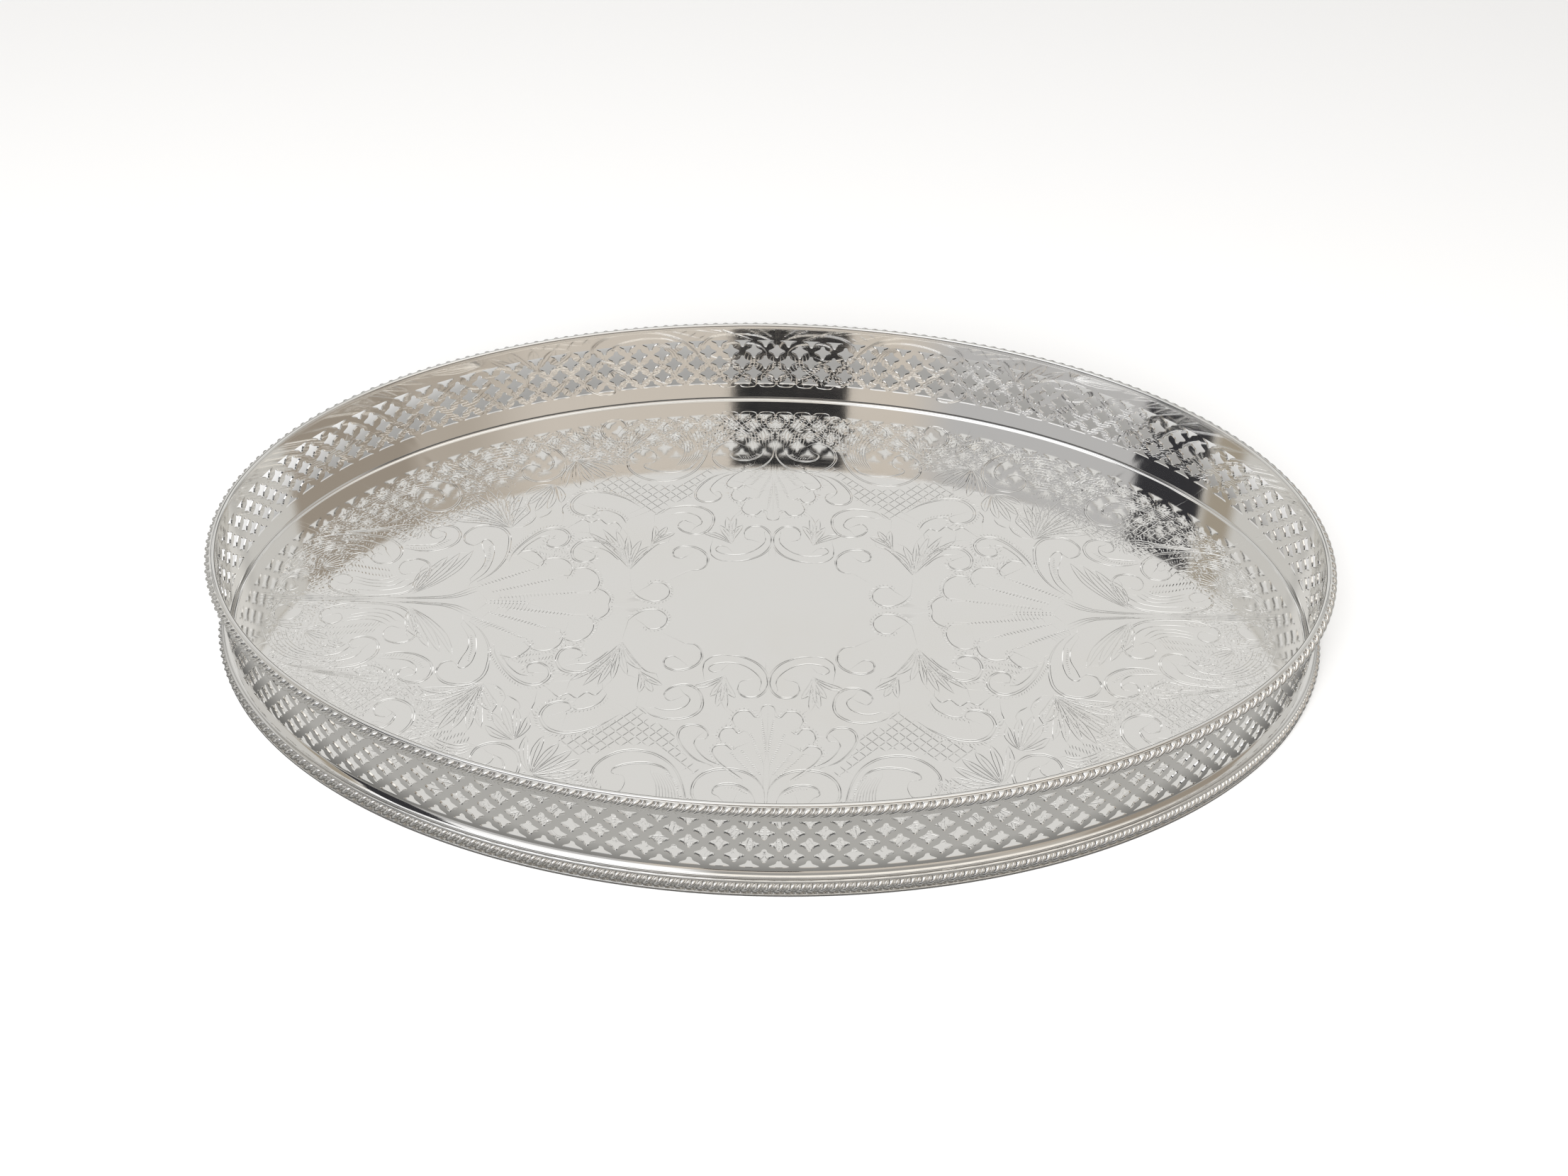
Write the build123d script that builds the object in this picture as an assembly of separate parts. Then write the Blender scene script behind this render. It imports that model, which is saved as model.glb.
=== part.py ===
from build123d import *
import bisect
import math
import os

os.makedirs("parts", exist_ok=True)

# Oval gallery tray. Millimetres, Z up, resting plane at Z = 0.
# X runs along the long axis, Y along the short axis, and the origin is the centre of the foot.

# Gallery: a thin pierced strip bent to an oval and standing on the rim of the floor sheet
WALL_A = 247.0          # half length of the strip's outer face, at its foot
WALL_B = 163.0          # half width of the same
WALL_T = 1.0            # sheet thickness
WALL_FOOT = 2.0         # lower edge of the strip
WALL_TOP = 48.0         # upper edge of the strip

# Piercings: five staggered rows, the first and last cut in half by the plain bands
COLUMNS = 110           # piercings in one row, right round the oval
ROW_LOW = 13.2          # flat edge of the lowest row
ROW_STEP = 6.8
HOLE_HALF_WIDTH = 4.0
HOLE_HALF_HEIGHT = 4.0

# Floor: flat chased sheet, with a run of solder filling the corner below the gallery
FLOOR_UNDER = 2.0
FLOOR_TOP = 3.2
FILLET = 1.6            # size of the solder corner
FILLET_EDGE = 0.15      # blunt edge left on it
EDGE_BEVEL = 0.3        # drop of the sheet's edge, filed down so that the solder holds

# Top edge: narrow smooth wire capping the strip, rope border soldered against it outside
CAP_FOOT = 47.4
CAP_TOP = 50.0
CAP_IN = -1.5           # distance of the inner side from the oval WALL_A x WALL_B
CAP_OUT = 0.5
TOP_ROPE_FOOT = 44.0
TOP_ROPE_TOP = 49.7
TOP_ROPE_OUT = 3.6

# Base: reeded moulding above a broad rope border, on a thin smooth foot wire
FOOT_TOP = 1.4
FOOT_IN = -3.0
FOOT_OUT = 4.2
BASE_ROPE_TOP = 6.6
BASE_ROPE_OUT = 4.9
REED_STEP = 1.3
REED_OUT = (3.0, 2.0)


def oval(z, grow):
    """The gallery's oval at height z, larger all round by grow."""
    return Plane.XY.offset(z) * Ellipse(WALL_A + grow, WALL_B + grow)


def tube(levels):
    """A solid oval block through the listed (height, grow) levels."""
    block = None
    for (z0, g0), (z1, g1) in zip(levels, levels[1:]):
        if abs(g1 - g0) < 1e-9:
            piece = extrude(oval(z0, g0), z1 - z0)
        else:
            piece = loft([oval(z0, g0), oval(z1, g1)])
        block = piece if block is None else block + piece
    return block


def ring(outer_levels, inner_levels):
    return tube(outer_levels) - tube(inner_levels)


def half_wire(bottom, top, inner, outer, steps):
    """Levels of a rounded outer side between two heights, bulging from inner to outer."""
    levels = []
    for k in range(steps + 1):
        t = k / steps
        bulge = math.sqrt(max(0.0, 1.0 - (2.0 * t - 1.0) ** 2))
        levels.append((bottom + (top - bottom) * t, inner + (outer - inner) * (0.35 + 0.65 * bulge)))
    return levels


class OvalPath:
    """Positions at equal spacing along the foot oval."""

    def __init__(self, samples=20000):
        self.samples = samples
        self.run = [0.0]
        last = (WALL_A, 0.0)
        for k in range(1, samples + 1):
            angle = 2.0 * math.pi * k / samples
            here = (WALL_A * math.cos(angle), WALL_B * math.sin(angle))
            self.run.append(self.run[-1] + math.dist(last, here))
            last = here

    def angle(self, share):
        """Parameter angle at a share (0 to 1) of the way round from +X."""
        k = bisect.bisect_left(self.run, share * self.run[-1])
        return 2.0 * math.pi * k / self.samples


def hole_outline(row):
    """Diamond piercing, with the half that runs into a plain band left out."""
    left = (-HOLE_HALF_WIDTH, 0.0)
    right = (HOLE_HALF_WIDTH, 0.0)
    top = (0.0, HOLE_HALF_HEIGHT)
    bottom = (0.0, -HOLE_HALF_HEIGHT)
    if row == 0:
        return Polygon(left, right, top, align=None)
    if row == 4:
        return Polygon(left, bottom, right, align=None)
    return Polygon(left, bottom, right, top, align=None)


def piercing(angle, row):
    """Cutter for one piercing, square to the gallery's face."""
    out = Vector(math.cos(angle) / WALL_A, math.sin(angle) / WALL_B, 0.0).normalized()
    foot = Vector(WALL_A * math.cos(angle), WALL_B * math.sin(angle), ROW_LOW + ROW_STEP * row)
    face = Plane(origin=foot - out * 4.0, x_dir=Vector(-out.Y, out.X, 0.0), z_dir=out)
    return extrude(face * hole_outline(row), 10.0)


def gallery_half(side):
    """One of the two strips that meet at the ends of the oval. Side is -1 for front, 1 for back."""
    strip = ring([(WALL_FOOT, 0.0), (WALL_TOP, 0.0)], [(WALL_FOOT, -WALL_T), (WALL_TOP, -WALL_T)])
    reach = 2.0 * WALL_A
    strip = strip & Pos(0, side * reach / 2, 0) * Box(2 * reach, reach, 4 * WALL_TOP)
    path = OvalPath()
    cutters = []
    for step in range(COLUMNS):
        for row in range(5):
            # odd rows sit half a step along, so that the piercings are staggered
            angle = path.angle((step + 0.5 * (row % 2)) / COLUMNS)
            if side * math.sin(angle) * WALL_B > -HOLE_HALF_WIDTH:
                cutters.append(piercing(angle, row))
    return strip - cutters


def floor_sheet():
    """Flat sheet that fits inside the gallery, its upper edge filed to a shallow bevel."""
    bevel_foot = FLOOR_TOP - EDGE_BEVEL
    return tube([(FLOOR_UNDER, -WALL_T), (bevel_foot, -WALL_T), (FLOOR_TOP, -WALL_T - FILLET)])


def solder_fillet():
    """Sloped corner between the bevelled edge of the floor and the inner face of the gallery."""
    bevel_foot = FLOOR_TOP - EDGE_BEVEL
    top = FLOOR_TOP + FILLET
    hollow = tube([
        (bevel_foot, -WALL_T),
        (FLOOR_TOP, -WALL_T - FILLET),
        (top, -WALL_T - FILLET_EDGE),
    ])
    return tube([(bevel_foot, -WALL_T), (top, -WALL_T)]) - hollow


def top_cap():
    """Smooth wire with a groove below that takes the strip's upper edge."""
    round_off = 0.7
    body = ring(
        [(CAP_FOOT, CAP_OUT), (CAP_TOP - round_off, CAP_OUT), (CAP_TOP, CAP_OUT - round_off)],
        [(CAP_FOOT, CAP_IN), (CAP_TOP - round_off, CAP_IN), (CAP_TOP, CAP_IN + round_off)],
    )
    groove = ring([(CAP_FOOT, 0.0), (WALL_TOP, 0.0)], [(CAP_FOOT, -WALL_T), (WALL_TOP, -WALL_T)])
    return body - groove


def base_moulding():
    """Two reeds stepping out from the gallery down to the rope border."""
    steps = []
    z = BASE_ROPE_TOP
    for out in REED_OUT:
        steps += [(z, out), (z + REED_STEP, out)]
        z += REED_STEP
    solid = None
    for (z0, g0), (z1, _) in zip(steps[::2], steps[1::2]):
        slab = extrude(oval(z0, g0), z1 - z0)
        solid = slab if solid is None else solid + slab
    return solid - tube([(BASE_ROPE_TOP, 0.0), (z, 0.0)])


def base_rope():
    outer = half_wire(FOOT_TOP, BASE_ROPE_TOP, 0.0, BASE_ROPE_OUT, 6)
    return ring(outer, [(FOOT_TOP, 0.0), (BASE_ROPE_TOP, 0.0)])


def top_rope():
    """Rope border against the outer face of the strip, lapping the outer side of the cap."""
    outer = half_wire(TOP_ROPE_FOOT, TOP_ROPE_TOP, 1.0, TOP_ROPE_OUT, 6)
    wall_side = tube([(TOP_ROPE_FOOT, 0.0), (CAP_FOOT, 0.0)])
    cap_side = tube([(CAP_FOOT, CAP_OUT), (TOP_ROPE_TOP, CAP_OUT)])
    return tube(outer) - wall_side - cap_side


def foot_wire():
    """Flat wire that the tray stands on, with a step inside that carries the sheet and the strip."""
    wire = tube([(0.0, FOOT_OUT - 0.4), (0.4, FOOT_OUT), (FOOT_TOP, FOOT_OUT)])
    step = tube([(FOOT_TOP, 0.0), (FLOOR_UNDER, 0.0)])
    return wire + step - tube([(0.0, FOOT_IN), (FLOOR_UNDER, FOOT_IN)])


NODES = {
    "floor_sheet": floor_sheet,
    "solder_fillet": solder_fillet,
    "gallery_front": lambda: gallery_half(-1),
    "gallery_back": lambda: gallery_half(1),
    "top_cap": top_cap,
    "top_rope": top_rope,
    "base_moulding": base_moulding,
    "base_rope": base_rope,
    "foot_wire": foot_wire,
}

for name, make in NODES.items():
    export_step(make(), f"parts/{name}.step")
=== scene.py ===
import math

import bpy
import numpy as np
from mathutils import Matrix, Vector
from mathutils.geometry import delaunay_2d_cdt


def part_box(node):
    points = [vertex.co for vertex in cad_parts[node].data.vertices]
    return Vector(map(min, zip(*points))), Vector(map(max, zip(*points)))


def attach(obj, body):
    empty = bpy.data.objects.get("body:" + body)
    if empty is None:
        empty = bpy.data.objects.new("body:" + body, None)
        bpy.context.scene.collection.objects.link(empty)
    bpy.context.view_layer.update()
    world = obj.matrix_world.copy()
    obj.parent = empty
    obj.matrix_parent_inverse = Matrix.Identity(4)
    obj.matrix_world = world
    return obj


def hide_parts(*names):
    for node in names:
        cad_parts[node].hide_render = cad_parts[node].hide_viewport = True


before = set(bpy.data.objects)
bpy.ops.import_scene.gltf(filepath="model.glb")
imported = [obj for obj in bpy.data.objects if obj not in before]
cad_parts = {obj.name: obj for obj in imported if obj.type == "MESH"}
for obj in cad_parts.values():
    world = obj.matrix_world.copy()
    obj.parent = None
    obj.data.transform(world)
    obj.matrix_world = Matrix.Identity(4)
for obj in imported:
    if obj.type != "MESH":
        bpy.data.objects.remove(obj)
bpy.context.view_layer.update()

# ---- Driving dimensions. Shapes are worked out in millimetres and made in metres.
MM = 0.001


def box_mm(node):
    low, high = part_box(node)
    return [c / MM for c in low], [c / MM for c in high]


strip_low, strip_high = box_mm("gallery_front")
sheet_low, sheet_high = box_mm("floor_sheet")
cap_low, cap_high = box_mm("top_cap")
top_rope_low, top_rope_high = box_mm("top_rope")
base_rope_low, base_rope_high = box_mm("base_rope")
moulding_low, moulding_high = box_mm("base_moulding")
_, foot_high = box_mm("foot_wire")
fillet_low, fillet_high = box_mm("solder_fillet")

WALL_A = strip_high[0]              # half length of the gallery's outer face
WALL_B = -strip_low[1]              # half width of the same
WALL_FOOT = strip_low[2]
WALL_TOP = strip_high[2]
WALL_T = WALL_A - sheet_high[0]     # thickness of the pierced strip

COLUMNS = 110                       # piercings in one row, right round
ROW_LOW = 13.2                      # flat edge of the lowest row
ROW_STEP = 6.8
HOLE = 4.0                          # half width and half height of a piercing
EASED = 0.14                        # rounding on the cut edges

TOP_TURNS = 258                     # lobes round the top rope border
BASE_TURNS = 300                    # lobes round the base rope border
ROPE_DEPTH = 0.50                   # depth of the valleys in both ropes, as a share of the bulge
CAP_INNER = -1.5                    # inner side of the cap, from the gallery's outer face
FOOT_INNER = -3.0                   # inner side of the foot wire, from the same


# ---- The oval that everything is bent round
class Oval:
    """Turns a distance along the gallery's outer face into a place, with equal steps all round."""

    def __init__(self, samples=40000):
        angle = np.linspace(0.0, 2.0 * math.pi, samples + 1)
        x = WALL_A * np.cos(angle)
        y = WALL_B * np.sin(angle)
        steps = np.hypot(np.diff(x), np.diff(y))
        self.angle = angle
        self.run = np.concatenate([[0.0], np.cumsum(steps)])
        self.length = self.run[-1]

    def place(self, along, grow, height):
        """Points at a distance along the oval (mm), moved out by grow, at a height."""
        whole, part = np.divmod(np.asarray(along, float), self.length)
        angle = np.interp(part, self.run, self.angle) + 2.0 * math.pi * whole
        x = (WALL_A + grow) * np.cos(angle)
        y = (WALL_B + grow) * np.sin(angle)
        return np.stack([x, y, np.broadcast_to(height, x.shape)], axis=-1)


OVAL = Oval()


# ---- Mesh helpers
def make_piece(name, points, faces, material, nodes, crease=35.0):
    """A closed mesh from millimetre points, riding on the tray and standing for CAD nodes."""
    mesh = bpy.data.meshes.new(name)
    mesh.from_pydata((np.asarray(points) * MM).tolist(), [], [list(map(int, f)) for f in faces])
    mesh.validate()
    mesh.polygons.foreach_set("use_smooth", [True] * len(mesh.polygons))
    mesh.set_sharp_from_angle(angle=math.radians(crease))
    mesh.materials.append(material)
    piece = bpy.data.objects.new(name, mesh)
    bpy.context.scene.collection.objects.link(piece)
    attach(piece, "root")
    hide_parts(*nodes)
    return piece


def loop_faces(stations, around):
    """Quads of a tube that closes on itself both ways."""
    i = np.arange(stations)[:, None]
    j = np.arange(around)[None, :]
    a = i * around + j
    b = i * around + (j + 1) % around
    c = ((i + 1) % stations) * around + (j + 1) % around
    d = ((i + 1) % stations) * around + j
    return np.stack([a, d, c, b], axis=-1).reshape(-1, 4)


def swept_ring(name, profile, material, nodes, wander=None, stations=880):
    """A profile of (grow, height) points carried right round the oval."""
    profile = np.array(profile, float)
    along = np.arange(stations) / stations * OVAL.length
    grow = np.broadcast_to(profile[:, 0], (stations, len(profile)))
    height = np.broadcast_to(profile[:, 1], grow.shape)
    if wander is not None:
        grow, height = wander(along[:, None], grow, height)
    points = OVAL.place(along[:, None], grow, height)
    faces = loop_faces(stations, len(profile))
    return make_piece(name, points.reshape(-1, 3), faces, material, nodes)


def arc(centre, radius, start, end, count):
    """Points on an arc, in degrees, ends included. Radius may be one number or a pair."""
    rx, ry = radius if isinstance(radius, tuple) else (radius, radius)
    turn = np.radians(np.linspace(start, end, count))
    return [(centre[0] + rx * math.cos(t), centre[1] + ry * math.sin(t)) for t in turn]


# ---- Materials
class NodeTree:
    """Short way to add nodes to a tree and join them."""

    def __init__(self, tree):
        self.tree = tree

    def add(self, kind, **settings):
        node = self.tree.nodes.new(kind)
        for key, value in settings.items():
            setattr(node, key, value)
        return node

    def link(self, source, target):
        self.tree.links.new(source, target)

    def remap(self, value, low, high, to_low=0.0, to_high=1.0, **settings):
        node = self.add("ShaderNodeMapRange", **settings)
        for key, number in (("From Min", low), ("From Max", high), ("To Min", to_low), ("To Max", to_high)):
            node.inputs[key].default_value = number
        self.link(value, node.inputs["Value"])
        return node.outputs["Result"]

    def math(self, how, a, b=0.0):
        node = self.add("ShaderNodeMath", operation=how)
        for socket, value in zip(node.inputs, (a, b)):
            if isinstance(value, (int, float)):
                socket.default_value = value
            else:
                self.link(value, socket)
        return node.outputs["Value"]

    def mix(self, factor, a, b):
        node = self.add("ShaderNodeMix", data_type="RGBA")
        for socket, value in ((node.inputs["A"], a), (node.inputs["B"], b)):
            if isinstance(value, tuple):
                socket.default_value = (*value, 1.0)
            else:
                self.link(value, socket)
        self.link(factor, node.inputs["Factor"])
        return node.outputs["Result"]


class Nodes(NodeTree):
    """The node tree of a new material."""

    def __init__(self, name):
        self.material = bpy.data.materials.new(name)
        self.material.use_nodes = True
        super().__init__(self.material.node_tree)
        self.shader = self.tree.nodes["Principled BSDF"]
        self.coords = self.add("ShaderNodeTexCoord").outputs["Object"]

    def noise(self, scale, detail, rough=0.5, turn=None, stretch=None):
        node = self.add("ShaderNodeTexNoise")
        node.inputs["Scale"].default_value = scale
        node.inputs["Detail"].default_value = detail
        node.inputs["Roughness"].default_value = rough
        source = self.coords
        if stretch:
            mapping = self.add("ShaderNodeMapping")
            mapping.inputs["Rotation"].default_value = (0.0, 0.0, turn)
            mapping.inputs["Scale"].default_value = stretch
            self.link(source, mapping.inputs["Vector"])
            source = mapping.outputs["Vector"]
        self.link(source, node.inputs["Vector"])
        return node.outputs["Fac"]

    def bump(self, height, strength, distance):
        node = self.add("ShaderNodeBump")
        node.inputs["Strength"].default_value = strength
        node.inputs["Distance"].default_value = distance
        self.link(height, node.inputs["Height"])
        self.link(node.outputs["Normal"], self.shader.inputs["Normal"])


BRIGHT = (0.955, 0.945, 0.925)      # clean silver plate
WARM = (0.90, 0.865, 0.80)          # first yellow breath of tarnish
DARK = (0.20, 0.187, 0.17)          # old tarnish in the hollows


def silver(name, roughness, haze, warm, waves, scratch=0.25, hollows=0.0, bends=(0.47, 0.41)):
    """Silver plate: hazy patches, a warm breath of tarnish, fine wiping marks, soft hammered waves.
    hollows says how dark the hollows are, bends at which two values of Pointiness that starts and is full."""
    n = Nodes(name)
    n.shader.inputs["Metallic"].default_value = 1.0
    patches = n.remap(n.noise(9.0, 4.0), 0.42, 0.72)
    cloud = n.remap(n.noise(38.0, 5.0, rough=0.62), 0.35, 0.75)
    stain = n.math("MULTIPLY", n.math("MULTIPLY", patches, cloud), warm)
    colour = n.mix(stain, BRIGHT, WARM)
    if hollows:
        bent = n.add("ShaderNodeNewGeometry").outputs["Pointiness"]
        pit = n.remap(bent, *bends, 0.0, hollows)
        colour = n.mix(pit, colour, DARK)
    n.link(colour, n.shader.inputs["Base Color"])
    # wiping marks: three sets of long thin streaks that cross each other
    streaks = None
    for turn in (0.35, 1.45, 2.5):
        one = n.remap(n.noise(1.0, 2.0, turn=turn, stretch=(60.0, 2600.0, 400.0)), 0.60, 0.74)
        streaks = one if streaks is None else n.math("MAXIMUM", streaks, one)
    rough = n.math("ADD", n.remap(cloud, 0.0, 1.0, roughness, roughness + haze),
                   n.math("MULTIPLY", streaks, 0.05 * scratch))
    n.link(rough, n.shader.inputs["Roughness"])
    wave = n.math("MULTIPLY", n.noise(26.0, 1.0), waves)
    height = n.math("ADD", wave, n.math("MULTIPLY", streaks, -0.004 * scratch))
    n.bump(height, 1.0, 0.001)
    return n.material


FLOOR_SILVER = silver("chased_silver", 0.050, 0.04, 0.30, 0.030, scratch=0.35, hollows=0.55,
                      bends=(0.495, 0.475))
STRIP_SILVER = silver("gallery_silver", 0.022, 0.035, 0.35, 0.045)
BORDER_SILVER = silver("border_silver", 0.04, 0.05, 0.25, 0.02, hollows=0.85)
CAP_SILVER = silver("cap_silver", 0.06, 0.05, 0.55, 0.03)
FOOT_SILVER = silver("foot_silver", 0.16, 0.12, 0.65, 0.02, scratch=0.8)


# ---- Pierced gallery
def hole_corner():
    """One quarter of a piercing, from its round top lobe down a hollow flank to its narrow right tip."""
    shares = [(0.0, 1.02), (0.14, 0.98), (0.225, 0.86), (0.265, 0.68), (0.34, 0.53), (0.46, 0.43),
              (0.62, 0.35), (0.80, 0.24), (0.95, 0.16), (1.03, 0.08), (1.05, 0.0)]
    return [(x * HOLE, z * HOLE) for x, z in shares]


def hole_outline(centre, keep):
    """Parts of a piercing's outline. keep says which quarters exist: a set of (sign x, sign z)."""
    quarter = hole_corner()
    walk = []
    for sx, sz, forward in ((1, 1, True), (1, -1, False), (-1, -1, True), (-1, 1, False)):
        if (sx, sz) in keep:
            part = [(centre[0] + sx * x, centre[1] + sz * z) for x, z in quarter]
            walk.append(part if forward else part[::-1])
    return walk


def inside(points, polygon):
    """Which points lie inside a polygon."""
    x, z = points[:, 0], points[:, 1]
    hit = np.zeros(len(points), bool)
    for (x0, z0), (x1, z1) in zip(polygon, np.roll(polygon, -1, axis=0)):
        crosses = (z0 > z) != (z1 > z)
        with np.errstate(divide="ignore", invalid="ignore"):
            at = x0 + (z - z0) * (x1 - x0) / (z1 - z0)
        hit ^= crosses & (x < at)
    return hit


def pierced_tile(pitch):
    """One column of the gallery, cut through the middle of rows 0, 2 and 4 at both sides.
    Gives points (along, height) and triangles."""
    half = pitch / 2.0
    lines = []
    holes = []
    for row in range(5):
        z = ROW_LOW + row * ROW_STEP
        # the first and last rows keep only the quarters on the side away from the plain bands
        kept = {(sx, sz) for sx in (1, -1) for sz in (1, -1) if (row, sz) not in ((0, -1), (4, 1))}
        for centre in ((0.0,) if row % 2 else (-half, half)):
            keep = {(sx, sz) for sx, sz in kept if abs(centre + sx * 0.5) < half}
            lines += hole_outline((centre, z), keep)
            holes.append(np.array(sum(hole_outline((centre, z), kept), [])))
    points = []
    edges = []
    for part in lines:
        start = len(points)
        points += part
        edges += [(start + k, start + k + 1) for k in range(len(part) - 1)]
    for z in (ROW_LOW, ROW_LOW + 4 * ROW_STEP):
        for centre in (-half, half):
            inward = 1 if centre < 0 else -1
            flat = [(centre + inward * HOLE * t, z) for t in (0.0, 0.35, 0.7, 1.05)]
            start = len(points)
            points += flat
            edges += [(start + k, start + k + 1) for k in range(3)]
    columns = np.linspace(-half, half, 7)
    levels = [WALL_FOOT, WALL_FOOT + 4.0, WALL_FOOT + 8.0, ROW_LOW - 0.8,
              ROW_LOW + 4 * ROW_STEP + 0.8, ROW_LOW + 4 * ROW_STEP + 3.6, WALL_TOP]
    grid = [(x, z) for z in levels for x in columns]
    corner_rows = [ROW_LOW + row * ROW_STEP for row in (1, 3)]
    grid += [(sx * half, z) for z in corner_rows for sx in (-1, 1)]
    grid += [(0.0, ROW_LOW), (0.0, ROW_LOW + 2 * ROW_STEP), (0.0, ROW_LOW + 4 * ROW_STEP)]
    points += grid
    verts, _, tris, *_ = delaunay_2d_cdt([(float(x), float(z)) for x, z in points], edges, [], 0, 1e-5)
    verts = np.array([tuple(v) for v in verts])
    tris = np.array(tris)
    middle = verts[tris].mean(axis=1)
    open_space = np.zeros(len(tris), bool)
    for polygon in holes:
        open_space |= inside(middle, polygon)
    tris = tris[~open_space]
    return verts, tris


def outer_edges(tris):
    """Edges used by one triangle only, in the order that triangle has them."""
    edges = np.concatenate([tris[:, [0, 1]], tris[:, [1, 2]], tris[:, [2, 0]]])
    key = np.sort(edges, axis=1)
    _, index, count = np.unique(key, axis=0, return_index=True, return_counts=True)
    return edges[index[count == 1]]


def merge(points, tris, grid=1e-4):
    """Joins points that lie on each other."""
    key = np.round(points / grid).astype(np.int64)
    _, first, back = np.unique(key, axis=0, return_index=True, return_inverse=True)
    tris = back.reshape(-1)[tris]
    keep = (tris[:, 0] != tris[:, 1]) & (tris[:, 1] != tris[:, 2]) & (tris[:, 0] != tris[:, 2])
    return points[first], tris[keep]


def gallery_strip(name, node, first_column):
    """Half of the gallery: the tile repeated, given thickness, eased at the cuts, and bent."""
    pitch = OVAL.length / COLUMNS
    verts, tris = pierced_tile(pitch)
    count = COLUMNS // 2
    shift = (np.arange(count) + 0.5) * pitch
    flat = np.concatenate([verts + (s, 0.0) for s in shift])
    index = np.concatenate([tris + k * len(verts) for k in range(count)])
    flat, index = merge(flat, index)
    a, b, c = (flat[index[:, k]] for k in range(3))
    area = (b[:, 0] - a[:, 0]) * (c[:, 1] - a[:, 1]) - (c[:, 0] - a[:, 0]) * (b[:, 1] - a[:, 1])
    index[area < 0] = index[area < 0][:, ::-1]
    rim = outer_edges(index)
    # direction into the hole at each rim point, from the two edges that meet there
    side = flat[rim[:, 1]] - flat[rim[:, 0]]
    side /= np.linalg.norm(side, axis=1)[:, None]
    out = np.stack([side[:, 1], -side[:, 0]], axis=1)
    push = np.zeros_like(flat)
    np.add.at(push, rim[:, 0], out)
    np.add.at(push, rim[:, 1], out)
    size = np.linalg.norm(push, axis=1)
    push[size > 0] /= size[size > 0][:, None]
    ends = (flat[:, 0] < 1e-3) | (flat[:, 0] > count * pitch - 1e-3)
    edge_band = (flat[:, 1] < WALL_FOOT + 1e-3) | (flat[:, 1] > WALL_TOP - 1e-3)
    push[ends | edge_band] = 0.0
    start = first_column * pitch
    seam = 0.03                         # half of the gap where the two strips meet
    along = np.clip(flat[:, 0], seam, count * pitch - seam)

    def layer(depth, back_off):
        moved = along + push[:, 0] * back_off, flat[:, 1] + push[:, 1] * back_off
        return OVAL.place(start + moved[0], np.full(len(flat), -depth), moved[1])

    # the easing takes metal off the faces and leaves the hole's own wall where it is
    layers = [layer(0.0, -EASED), layer(EASED, 0.0), layer(WALL_T - EASED, 0.0), layer(WALL_T, -EASED)]
    size = len(flat)
    faces = [tuple(t) for t in index]
    faces += [(c + 3 * size, b + 3 * size, a + 3 * size) for a, b, c in index]
    for k in range(3):
        faces += [(b + k * size, a + k * size, a + (k + 1) * size, b + (k + 1) * size) for a, b in rim]
    points = np.concatenate(layers)
    used = np.unique(np.concatenate([np.array(f) for f in faces]))
    renumber = np.full(len(points), -1)
    renumber[used] = np.arange(len(used))
    faces = [tuple(renumber[list(f)]) for f in faces]
    make_piece(name, points[used], faces, STRIP_SILVER, [node], crease=24.0)


# ---- Rope borders, mouldings, cap and foot
def rope_lobes(share):
    """Height of the rope's surface across one turn: a broad lobe, then a slim one, with sharp valleys."""
    broad = 0.66
    wide = np.clip(share / broad, 0.0, 1.0)
    slim = np.clip((share - broad) / (1.0 - broad), 0.0, 1.0)
    tall = np.sqrt(np.clip(1.0 - (2.0 * wide - 1.0) ** 2, 0.0, 1.0))
    low = 0.62 * np.sqrt(np.clip(1.0 - (2.0 * slim - 1.0) ** 2, 0.0, 1.0))
    return np.where(share < broad, tall, low)


def rope_ring(name, node, turns, centre, radius, slant, wall):
    """Slanted lobes round the outside of the gallery. centre and radius are (grow, height) of the section,
    wall is the (grow, height) points that close it behind, from its top down to its foot."""
    shares = np.array([0.0, 0.03, 0.10, 0.20, 0.33, 0.46, 0.56, 0.63, 0.66, 0.69, 0.76, 0.83, 0.90, 0.97])
    stations = turns * len(shares)
    pitch = OVAL.length / turns
    along = (np.arange(turns)[:, None] + shares[None, :]).reshape(-1) * pitch
    keep = 1.0 - ROPE_DEPTH * (1.0 - np.tile(rope_lobes(shares), turns))
    section = np.radians(np.linspace(-90.0, 90.0, 11))
    around = len(section) + len(wall)
    grow = np.zeros((stations, around))
    height = np.zeros_like(grow)
    shift = np.zeros_like(grow)
    for k, turn in enumerate(section):
        flat = keep if 0 < k < len(section) - 1 else 1.0
        grow[:, k] = centre[0] + radius[0] * math.cos(turn) * keep
        height[:, k] = centre[1] + radius[1] * math.sin(turn) * flat
        shift[:, k] = slant * pitch * math.sin(turn) / 2.0
    for k, (out, level) in enumerate(wall):
        grow[:, len(section) + k] = out
        height[:, len(section) + k] = level
        shift[:, len(section) + k] = slant * pitch * (0.5 - k / max(1, len(wall) - 1))
    points = OVAL.place(along[:, None] + shift, grow, height)
    faces = loop_faces(stations, around)
    return make_piece(name, points.reshape(-1, 3), faces, BORDER_SILVER, [node], crease=50.0)


def top_rope():
    """Rope border against the outside of the cap and of the strip below it."""
    out = top_rope_high[0] - WALL_A
    cap_out = cap_high[0] - WALL_A
    foot = top_rope_low[2]
    head = top_rope_high[2] - 0.4       # the cap's rounded edge shows above it
    middle = cap_out + 0.5
    rope_ring("top_rope_border", "top_rope", TOP_TURNS, (middle, (foot + head) / 2.0),
              (out - middle, (head - foot) / 2.0), 0.9,
              [(cap_out, head - 0.25), (cap_out, cap_low[2]), (0.0, cap_low[2]), (0.0, foot + 0.25)])


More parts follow.
